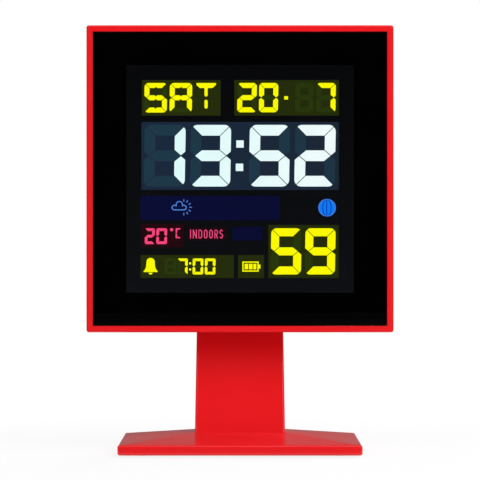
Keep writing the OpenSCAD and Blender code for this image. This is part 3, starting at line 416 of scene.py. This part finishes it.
# Dots: two of the time, one of the date, two of the alarm, and the degree sign in the tint of the label.
for box in ((-1.45, 1.45, 12.25, 15.1), (-1.65, 1.25, 3.1, 6.0)):
    plate(lit["white"], oblong(*box), LIT_UP)
for box in ((17.3, 18.8, 31.1, 32.4), (-19.9, -19.15, -33.46, -32.66), (-19.9, -19.15, -35.84, -35.04)):
    plate(lit["yellow"], oblong(*box), LIT_UP)
label = bmesh.new()
plate(label, oblong(-27.3, -26.2, -20.4, -19.3), LIT_UP)

# Alarm bell: a domed bell on a flared rim, with a clapper below.
BELL_X, BELL_Z = -35.0, -33.9
CLAPPER_DROP, CLAPPER_R = 2.78, 0.76
half_bell = [(0, 2.98)] + arc(0.1, 1.45, 1.53, 90, 0, 6)
half_bell += [(1.7, 0), (1.87, -0.77), (2.2, -1.55), (2.75, -2.2), (2.75, -2.54), (0, -2.54)]
bell = half_bell + [(-x, z) for x, z in half_bell[-2:0:-1]]
plate(lit["yellow"], [(BELL_X + x, BELL_Z + z) for x, z in bell], LIT_UP)
plate(lit["yellow"], arc(BELL_X, BELL_Z - CLAPPER_DROP, CLAPPER_R, 180, 360, 8), LIT_UP)

# Battery sign in its own field: an outlined cell with a cap and three bars of charge.
BATTERY_X, BATTERY_Z = 4.3, -34.3
for left, right, low, high in ((-3.4, 3.0, 1.5, 2.0), (-3.4, 3.0, -2.0, -1.5), (-3.4, -2.9, -1.5, 1.5),
                               (2.5, 3.0, -1.5, 1.5), (3.0, 3.7, -0.8, 0.8), (-2.5, -1.1, -1.1, 1.1),
                               (-0.8, 0.6, -1.1, 1.1), (0.9, 2.1, -1.1, 1.1)):
    box = (BATTERY_X + left, BATTERY_X + right, BATTERY_Z + low, BATTERY_Z + high)
    plate(lit["yellow"], oblong(*box), LIT_UP)


def trace(shape, points, width, up, closed=False, face=glass_low.y, middle=DISPLAY_MIDDLE):
    """Adds a line of this width, through points in millimetres about a middle, that stands this far up."""
    curve = bpy.data.curves.new("line", "CURVE")
    curve.dimensions = "3D"
    curve.bevel_depth = width * MM / 2
    curve.bevel_resolution = 1
    curve.use_fill_caps = True
    line = curve.splines.new("POLY")
    line.points.add(len(points) - 1)
    for point, (x, z) in zip(line.points, points):
        point.co = (middle[0] + x * MM, face, middle[1] + z * MM, 1)
    line.use_cyclic_u = closed
    drawn = bpy.data.objects.new("line", curve)
    flat = bpy.data.meshes.new_from_object(drawn)
    for vertex in flat.vertices:
        vertex.co.y = (max if up > 0 else min)(vertex.co.y, face - up)
    shape.from_mesh(flat)
    bpy.data.objects.remove(drawn)
    bpy.data.curves.remove(curve)


# Weather: an outlined cloud with the sun's rays behind it.
CLOUD_LEFT, CLOUD_RIGHT, CLOUD_Z, CLOUD_R = -25.7, -21.95, -11.2, 0.9
CROWN_X, CROWN_Z, CROWN_R, CROWN_FOOT = -23.75, -10.0, 1.2, -10.8
SUN_X, SUN_Z, RAY_IN, RAY_OUT = -22.0, -11.1, 2.15, 3.15
CLOUD_LINE, RAY_LINE = 0.5, 0.45
body = arc(CLOUD_LEFT, CLOUD_Z, CLOUD_R, 90, 270, 8) + arc(CLOUD_RIGHT, CLOUD_Z, CLOUD_R, -90, 90, 8)
crown = arc(CROWN_X, CROWN_Z, CROWN_R, 0, 180, 10)
crown_left, crown_right = CROWN_X - CROWN_R, CROWN_X + CROWN_R
cloud_top = CLOUD_Z + CLOUD_R
trace(lit["blue"], [(crown_left, cloud_top), *body, (crown_right, cloud_top)], CLOUD_LINE, LIT_UP)
trace(lit["blue"], [(crown_right, CROWN_FOOT), *crown, (crown_left, CROWN_FOOT)], CLOUD_LINE, LIT_UP)
for turn in range(-90, 91, 30):
    x, z = math.cos(math.radians(turn)), math.sin(math.radians(turn))
    ray = [(SUN_X + reach * x, SUN_Z + reach * z) for reach in (RAY_IN, RAY_OUT)]
    trace(lit["blue"], ray, RAY_LINE, LIT_UP)

# Moon: a full disc of clear mid blue with a paler rim, crossed by meridians that stay dark.
MOON_X, MOON_Z, MOON_R = 34.1, -11.25, 3.45
MERIDIAN_LINE, MOON_RIM = 0.45, 0.4
MERIDIANS_UP, MOON_RIM_UP = LIT_UP + 0.015 * MM, LIT_UP + 0.03 * MM
moon = bmesh.new()
plate(moon, arc(MOON_X, MOON_Z, MOON_R, 0, 350, 35), LIT_UP)
lay("display_moon", moon, glowing("lit blue disc", "#127CFA", "#117AF8"))
meridians = bmesh.new()
for share in (-0.5, -0.06, 0.45):
    turns = [math.radians(turn) for turn in range(12, 169, 12)]
    points = [(MOON_X + share * MOON_R * math.sin(a), MOON_Z + MOON_R * math.cos(a)) for a in turns]
    trace(meridians, points, MERIDIAN_LINE, MERIDIANS_UP)
lay("display_meridians", meridians, glowing("dark blue lines", "#0446BE", "#0442B6"))
moon_edge = arc(MOON_X, MOON_Z, MOON_R - MOON_RIM / 2, 0, 350, 35)
trace(lit["blue"], moon_edge, MOON_RIM, MOON_RIM_UP, True)

# Label of the temperature, in condensed capitals of a dimmer pink than the figures.
# Each capital is drawn in strokes over a square of one by one, which its left and right edges then stretch.
CAPITALS = {
    "I": [[(0.5, -0.07), (0.5, 1.07)]],
    "N": [[(0, -0.07), (0, 1.07)], [(0, 1), (1, 0)], [(1, -0.07), (1, 1.07)]],
    "D": [[(0, 0), (0, 1), (0.65, 1), (1, 0.85), (1, 0.15), (0.65, 0), (0, 0)]],
    "O": [[(0.35, 0), (0, 0.15), (0, 0.85), (0.35, 1), (0.65, 1), (1, 0.85), (1, 0.15), (0.65, 0),
           (0.35, 0)]],
    "R": [[(0, -0.07), (0, 1), (0.65, 1), (1, 0.86), (1, 0.6), (0.65, 0.46), (0, 0.46)],
          [(0.5, 0.46), (1, -0.07)]],
    "S": [[(0, 0.15), (0.35, 0), (0.65, 0), (1, 0.15), (1, 0.4), (0, 0.62), (0, 0.85), (0.35, 1),
           (0.65, 1), (1, 0.85)]],
}
LABEL_LOW, LABEL_HIGH, LABEL_LINE = -23.09, -20.03, 0.45
for capital, left, right in (("I", -19.86, -18.86), ("N", -18.3, -17.08), ("D", -16.1, -15.0),
                             ("O", -13.95, -12.9), ("O", -11.87, -10.82), ("R", -9.82, -8.8),
                             ("S", -7.8, -6.85)):
    for stroke in CAPITALS[capital]:
        points = [(left + x * (right - left), LABEL_LOW + z * (LABEL_HIGH - LABEL_LOW)) for x, z in stroke]
        ring = stroke[0] == stroke[-1]
        trace(label, points[:-1] if ring else points, LABEL_LINE, LIT_UP, ring)
lay("display_label", label, glowing("dim pink letters", "#F65084", "#F04C80"))

# Lit segments: flat, clear colour at full strength, with the white a little cooler on the left.
lit_tints = {"white": ("#DCFFFF", "#F4FFFF"), "yellow": ("#FFFF04", "#FFFD00"),
             "pink": ("#FF4A80", "#FF4478"), "blue": ("#4F82DC", "#4A7ED8")}
for colour, shape in lit.items():
    finish = glowing("lit " + colour + " segments", *lit_tints[colour])
    lay("display_lit_" + colour, shape, finish)


# Behind the display: a white tray screwed to the frame holds the glass, the light films and the guide.
# Rubber strips carry the signals from the board, and side lamps shine into the edges of the guide.
# White ABS: a warm white with a soft sheen.
white_abs = moulded("white ABS", "#E6E5DF", "#DEDDD6", gloss=0.35, grain_mm=1.2, depth_mm=0.006)
coat(white_abs, "lcd_holder")
# Polyester film: a matt white that scatters light, and a yellow tint that lets it through.
white_film = moulded("white polyester film", "#F2F2EE", "#EDEDE8", gloss=0.6, grain_mm=0.6, depth_mm=0.002)
coat(white_film, "diffuser_film", "reflector_film")
tinted_film = moulded("tinted polyester film", "#C2B23A", "#B8A630", gloss=0.3, grain_mm=0.8, depth_mm=0.002)
coat(tinted_film, "colour_film")
# Light-guide acrylic: a glassy, faintly blue sheet.
guide_acrylic = moulded("clear light-guide acrylic", "#E8F0F2", "#E0EAEE", gloss=0.08, grain_mm=1.5,
                        depth_mm=0.002, sockets={"Transmission Weight": 0.6})
coat(guide_acrylic, "light_guide")

# Layered rubber: fine dark and pale stripes, drawn coarser than life.
# A wave repeats after this share of its scaled length.
WAVE_SHARE = math.pi / 10
LAYER_MM = 0.5
layered_rubber, place = empty_finish("layered conductive rubber")
layers = add(layered_rubber, "TexWave", {"Scale": WAVE_SHARE / (LAYER_MM * MM), "bands_direction": "X"},
             {"Vector": (place, "Object")})
tint = add(layered_rubber, "Mix", {"data_type": "RGBA", 6: linear("#2A2A2C"), 7: linear("#A8A8AC")},
           {0: (layers, 1)})
shader = add(layered_rubber, "BsdfPrincipled", {"Roughness": 0.7}, {"Base Color": (tint, 2)})
add(layered_rubber, "OutputMaterial", {}, {"Surface": (shader, 0)})
coat(layered_rubber, "zebra_connectors")
# Lamp resin: a glossy, pale yellow drop.
lamp_resin = moulded("clear yellow lamp resin", "#FBF2CC", "#F6E8B0", gloss=0.15, grain_mm=0.8,
                     depth_mm=0.002)
coat(lamp_resin, "backlight_leds")


# Boards: green glass-fibre laminate, with copper tracks that show through the solder resist as raised lines.
# The main board carries the potted chip, the crystal and a can capacitor.
TRACK_MM, TRACK_RISE_MM = 2.5, 0.03
# Solder resist: a glossy green, paler along the tracks under it.
board_green, place = empty_finish("green solder resist over copper tracks")
turned = add(board_green, "Mapping", {"Rotation": (math.radians(90), 0, 0)}, {"Vector": (place, "Object")})
tracks = add(board_green, "TexBrick",
             {"Scale": 1 / (TRACK_MM * MM), "Mortar Size": 0.12, "Brick Width": 3.0, "Row Height": 0.6,
              "Color1": linear("#0E5A2C"), "Color2": linear("#0B4E26"), "Mortar": linear("#2C8A4C")},
             {"Vector": (turned, 0)})
relief = add(board_green, "Bump", {"Distance": TRACK_RISE_MM * MM}, {"Height": (tracks, "Fac")})
shader = add(board_green, "BsdfPrincipled", {"Roughness": 0.3},
             {"Base Color": (tracks, 0), "Normal": (relief, 0)})
add(board_green, "OutputMaterial", {}, {"Surface": (shader, 0)})
coat(board_green, "main_board", "key_board", "socket_board")
# Potting resin: a glossy, slightly wavy black drop.
potting = moulded("black potting resin", "#0B0B0B", "#111111", gloss=0.2, grain_mm=3, depth_mm=0.05)
coat(potting, "controller_blob")
coat(nickel_steel, "quartz_crystal", "holder_screws", "board_screws", "key_screws", "socket_screws",
     "slide_switch")
# Shrunk sleeve: a dark blue with the soft gloss of stretched film.
sleeve_blue = moulded("shrunk blue sleeve", "#232F4E", "#1C2743", gloss=0.3, grain_mm=1, depth_mm=0.004)
coat(sleeve_blue, "capacitor")

# Ribbon cable: pale grey ribs, one to each wire, with painted shade that darkens the grooves between them and
# lightens their crests.
WIRE_MM, RIB_RISE_MM = 1.27, 0.15
grey_ribbon, place = empty_finish("ribbed grey ribbon cable with painted groove shade")
ribs = add(grey_ribbon, "TexWave", {"Scale": WAVE_SHARE / (WIRE_MM * MM), "bands_direction": "X"},
           {"Vector": (place, "Object")})
# Painted shade: the colour follows the ribs' height, darker grey in the grooves and paler on the crests.
tint = add(grey_ribbon, "Mix", {"data_type": "RGBA", 6: linear("#9EA1A8"), 7: linear("#C2C5CA")},
           {0: (ribs, 1)})
relief = add(grey_ribbon, "Bump", {"Distance": RIB_RISE_MM * MM}, {"Height": (ribs, 1)})
shader = add(grey_ribbon, "BsdfPrincipled", {"Roughness": 0.5},
             {"Base Color": (tint, 2), "Normal": (relief, 0)})
add(grey_ribbon, "OutputMaterial", {}, {"Surface": (shader, 0)})
coat(grey_ribbon, "ribbon_cable")
# Wire insulation: a plain, waxy red.
lead_pvc = moulded("red insulated wire", "#B01A1A", "#A01616", gloss=0.4, grain_mm=1, depth_mm=0.004)
coat(lead_pvc, "power_leads", "battery_leads")
coat(black_abs, "key_switches", "snooze_switch", "temperature_sensor")
# Acetal: a waxy cream with a dull sheen.
cream_acetal = moulded("cream acetal", "#E4DCC4", "#DCD3B8", gloss=0.4, grain_mm=1, depth_mm=0.004)
coat(cream_acetal, "snooze_stem", "knob_lever", *("button_stem_%d" % i for i in range(1, 6)))


# Back cover: the rear half of the head in the same red ABS, with a wide bevel round its back.
# It has the battery bay, the openings for the controls and slots for the sounder and the sensor.
SEAM, BACK = (corner.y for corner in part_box("back_cover"))
COVER_EDGE_MM = 0.2
BACK_FACE, SEAM_BAND, BEVEL_START = BACK - 0.02 * MM, SEAM + 0.05 * MM, BACK - 4 * MM


def on_cover_edge(p):
    """Whether a point lies on the back face, its bevel or the seam with the frame."""
    return p.y > BACK_FACE or (on_skin(p) and (p.y < SEAM_BAND or p.y > BEVEL_START))


dressed("back_cover", red_abs, COVER_EDGE_MM, on_cover_edge)
dressed("case_screws", nickel_steel)
dressed("tongue_screws", nickel_steel)


# Sounder and power inlet: a round black transducer set against the cover behind its slots,
# and a folded steel shell round a tongue, on a small board of its own.
dressed("sounder", black_abs)
dressed("power_socket", nickel_steel)


# Cells and contacts: three cells lie across the bay, pressed by cone springs on nickel-plated plates.
# Each cell has a dark printed sleeve with a copper-coloured band at its cap end, and bare steel ends.
dressed("contact_plates", nickel_steel)
dressed("contact_springs", nickel_steel)
SCUFF_MM = 4
LEAST_SCUFFED, MOST_SCUFFED = 0.22, 0.4


def sleeved(name, foot_x, cap_x):
    """A cell's finish: steel ends, a graphite sleeve, and a copper band next to the cap."""
    finish, place = empty_finish(name)
    split = add(finish, "SeparateXYZ", {}, {"Vector": (place, "Object")})
    along = add(finish, "MapRange", {"From Min": foot_x, "From Max": cap_x}, {"Value": (split, "X")})
    bands = add(finish, "ValToRGB", {}, {"Fac": (along, 0)})
    bands.color_ramp.interpolation = "CONSTANT"
    stops = [(0.0, "#B9BBBE"), (0.02, "#2A2B2F"), (0.74, "#A8642C"), (0.955, "#C4C6C9")]
    for i, (at, colour) in enumerate(stops):
        stop = bands.color_ramp.elements[i] if i < 2 else bands.color_ramp.elements.new(at)
        stop.position = at
        stop.color = linear(colour)
    scuff = add(finish, "TexNoise", {"Scale": 1 / (SCUFF_MM * MM), "Detail": 3},
                {"Vector": (place, "Object")})
    rough = add(finish, "MapRange", {"To Min": LEAST_SCUFFED, "To Max": MOST_SCUFFED}, {"Value": (scuff, 0)})
    shader = add(finish, "BsdfPrincipled", {"Metallic": 0.7},
                 {"Base Color": (bands, 0), "Roughness": (rough, 0)})
    add(finish, "OutputMaterial", {}, {"Surface": (shader, 0)})
    return finish


for node, is_turned in (("battery_1", False), ("battery_2", True), ("battery_3", False)):
    low_x, high_x = (corner.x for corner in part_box(node))
    ends = (high_x, low_x) if is_turned else (low_x, high_x)
    dressed(node, sleeved("printed sleeve of " + node, *ends))


# Battery door: a flat lid of the same red ABS, which turns on two moulded pins at its lower edge.
# A springy latch at its upper edge holds it shut, with grip grooves under it.
DOOR_EDGE_MM = 0.15
dressed("battery_door", red_abs, DOOR_EDGE_MM, lambda p: p.y > BACK_FACE)


# Controls: a long snooze bar in the top and five round keys in the back, in a slightly deeper red.
# The alarm switch has a ribbed black knob.
# Satin ABS: a shade deeper and duller than the shell, so that the controls stand out from it.
control_abs = moulded("satin red ABS", "#CF0E18", "#C60C16", gloss=0.3, grain_mm=0.9, depth_mm=0.008)
# The hidden back edge of the bar's flange is broken, so that it clears the cover's inner bevel.
FLANGE_EDGE_MM, KNOB_EDGE_MM = 0.1, 0.12
FLANGE_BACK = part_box("snooze_bar")[1].y - 0.02 * MM
KNOB_PROUD = BACK + 0.2 * MM
dressed("snooze_bar", control_abs, FLANGE_EDGE_MM, lambda p: p.y > FLANGE_BACK)
for i in range(1, 6):
    dressed("button_%d" % i, control_abs)
dressed("alarm_knob", black_abs, KNOB_EDGE_MM, lambda p: p.y > KNOB_PROUD)


# Marks: small signs in white ink, pad-printed on the back below the keys and above the switch.
# From the left as seen from behind: set the time, alarm, later, earlier and brightness.
# A disc stands over the knob's place with the alarm on, and a ring over its place with the alarm off.
INK_UP = -0.02 * MM
KEY_TO_MARK, KNOB_TO_MARK = 7 * MM, 3 * MM
MARK_LINE, RING_LINE = 0.35, 0.3
DIAL_R, HANDS = 1.7, [(0, 1.1), (0, 0), (-0.8, 0)]
BELL_SHARE = 0.58
ARROW = [(0, 1.5), (1.7, -1.3), (-1.7, -1.3)]
SUN_R, GLEAM_IN, GLEAM_OUT = 0.85, 1.3, 1.9
DISC_R, RING_R, KNOB_TRAVEL = 0.9, 0.8, 4
ink = bmesh.new()


def key_mark(i):
    """Where the mark of a key goes: a face and a middle under the key."""
    low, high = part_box("button_%d" % i)
    return {"face": BACK, "middle": ((low.x + high.x) / 2, (low.z + high.z) / 2 - KEY_TO_MARK)}


dial, bell_spot, later, earlier, sun = (key_mark(i) for i in (5, 4, 3, 2, 1))
trace(ink, arc(0, 0, DIAL_R, 0, 340, 17), MARK_LINE, INK_UP, True, **dial)
trace(ink, HANDS, MARK_LINE, INK_UP, **dial)
plate(ink, [(BELL_SHARE * x, BELL_SHARE * z) for x, z in bell], INK_UP, **bell_spot)
plate(ink, ARROW, INK_UP, **later)
plate(ink, [(x, -z) for x, z in ARROW], INK_UP, **earlier)
plate(ink, arc(0, 0, SUN_R, 0, 330, 11), INK_UP, **sun)
for turn in range(0, 360, 45):
    x, z = math.cos(math.radians(turn)), math.sin(math.radians(turn))
    gleam = [(reach * x, reach * z) for reach in (GLEAM_IN, GLEAM_OUT)]
    trace(ink, gleam, MARK_LINE, INK_UP, **sun)
knob_low, knob_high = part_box("alarm_knob")
knob_on = {"face": BACK, "middle": ((knob_low.x + knob_high.x) / 2, knob_high.z + KNOB_TO_MARK)}
plate(ink, arc(0, 0, DISC_R, 0, 330, 11), INK_UP, **knob_on)
trace(ink, arc(KNOB_TRAVEL, 0, RING_R, 0, 330, 11), RING_LINE, INK_UP, True, **knob_on)
# Pad-printing ink: a flat, slightly warm white.
white_ink = moulded("pad-printed white ink", "#EDEDE8", "#E4E4DE", gloss=0.55, grain_mm=0.6, depth_mm=0.003)
lay("back_marks", ink, white_ink)


# Studio: a white floor and surround that read as white paper, a soft key from the upper right and a fill.
# Dark cards stand where the lens and the red faces would mirror the white, and show only in reflections.
FLOOR_SIZE = 8
NEAR_GLOW = 0.85
SHADE_NEAR, SHADE_FAR = 60 * MM, 200 * MM
ROOM_LIGHT = 0.3


def seen_white(finish):
    """Whether light goes to the camera straight, mirrored or through glass: 1 or 0."""
    path = add(finish, "LightPath", {})
    seen = add(finish, "Math", {"operation": "MAXIMUM"},
               {0: (path, "Is Camera Ray"), 1: (path, "Is Glossy Ray")})
    return add(finish, "Math", {"operation": "MAXIMUM"}, {0: (seen, 0), 1: (path, "Is Transmission Ray")})


def card(name, finish, width, height, spot, facing):
    """A flat card of the studio, standing at a spot and facing one way."""
    shape = bmesh.new()
    bmesh.ops.create_grid(shape, x_segments=1, y_segments=1, size=0.5)
    turn = Vector(facing).to_track_quat("Z", "Y").to_matrix().to_4x4()
    place = Matrix.Translation(spot) @ turn @ Matrix.Diagonal((width, height, 1, 1))
    bmesh.ops.transform(shape, matrix=place, verts=shape.verts)
    mesh = bpy.data.meshes.new(name)
    shape.to_mesh(mesh)
    shape.free()
    mesh.materials.append(finish)
    piece = bpy.data.objects.new(name, mesh)
    bpy.context.scene.collection.objects.link(piece)
    return piece


# White paper: seen directly or mirrored it glows, fully from some way off, and takes a shadow near the clock.
paper, place = empty_finish("white paper floor")
far = add(paper, "VectorMath", {"operation": "LENGTH"}, {0: (place, "Object")})
glow = add(paper, "MapRange",
           {"From Min": SHADE_NEAR, "From Max": SHADE_FAR, "To Min": NEAR_GLOW, "To Max": 1.0},
           {"Value": (far, "Value")})
share = add(paper, "Math", {"operation": "MULTIPLY"}, {0: (seen_white(paper), 0), 1: (glow, 0)})
matt = add(paper, "BsdfDiffuse", {"Color": linear("#FAFAFA")})
light = add(paper, "Emission", {"Color": linear("#FFFFFF"), "Strength": 1})
both = add(paper, "MixShader", {}, {0: (share, 0), 1: (matt, 0), 2: (light, 0)})
add(paper, "OutputMaterial", {}, {"Surface": (both, 0)})
card("floor", paper, FLOOR_SIZE, FLOOR_SIZE, (0, 0, 0), (0, 0, 1))

# Cards that only reflections see: name, tone, width, height, spot and facing, in metres.
for name, tone, width, height, spot, facing in (
        ("front_flag", "#000000", 4, 2.4, (0, -1.6, 1.2), (0, 1, 0)),
        ("table_flag", "#272727", 4, 1.56, (0, -0.82, 0.0005), (0, 0, 1)),
        ("back_flag", "#7C7C7C", 4, 1.6, (0, 1.6, 0.8), (0, -1, 0)),
        ("left_flag", "#3F3F3F", 2.4, 1.6, (-0.8, 0.2, 0.8), (1, 0, 0)),
        ("right_flag", "#3F3F3F", 2.4, 1.6, (0.8, 0.2, 0.8), (-1, 0, 0))):
    cloth, _ = empty_finish(name + " cloth")
    light = add(cloth, "Emission", {"Color": linear(tone), "Strength": 1})
    add(cloth, "OutputMaterial", {}, {"Surface": (light, 0)})
    piece = card(name, cloth, width, height, spot, facing)
    piece.visible_camera = piece.visible_diffuse = piece.visible_shadow = False

# White surround: plain white to the eye, and a dim even light on the clock.
world = bpy.data.worlds.new("white surround")
bpy.context.scene.world = world
world.use_nodes = True
world.node_tree.nodes.clear()
power = add(world, "MapRange", {"To Min": ROOM_LIGHT, "To Max": 1.0}, {"Value": (seen_white(world), 0)})
room = add(world, "Background", {"Color": linear("#FFFFFF")}, {"Strength": (power, 0)})
add(world, "OutputWorld", {}, {"Surface": (room, 0)})

# Square softboxes: name, watts, size and spot in metres, all turned to the lower half of the head.
LIGHT_AIM = Vector((0, 0, 0.08))
for name, watts, size, spot in (("key_softbox", 25, 1.6, (1.0, -1.0, 1.2)),
                                ("fill_softbox", 11.5, 1.6, (-1.0, -1.1, 1.1)),
                                ("back_softbox", 16, 1.0, (1.3, 1.2, 0.7))):
    softbox = bpy.data.lights.new(name, "AREA")
    softbox.energy = watts
    softbox.size = size
    piece = bpy.data.objects.new(name, softbox)
    aim = (LIGHT_AIM - Vector(spot)).to_track_quat("-Z", "Y").to_matrix().to_4x4()
    piece.matrix_world = Matrix.Translation(spot) @ aim
    bpy.context.scene.collection.objects.link(piece)

# Camera: level and straight on, a little over 900 mm from the head, at the height that the base's top shows.
CAMERA_OFF, CAMERA_HIGH = 0.93, 0.0836
SENSOR_MM, FOCAL_MM = 36, 176
camera = bpy.data.objects.new("camera", bpy.data.cameras.new("camera"))
camera.data.sensor_width = SENSOR_MM
camera.data.lens = FOCAL_MM
camera.location = (0, -CAMERA_OFF, CAMERA_HIGH)
camera.rotation_euler = (math.radians(90), 0, 0)
bpy.context.scene.collection.objects.link(camera)
bpy.context.scene.camera = camera
bpy.context.scene.view_settings.view_transform = "Standard"
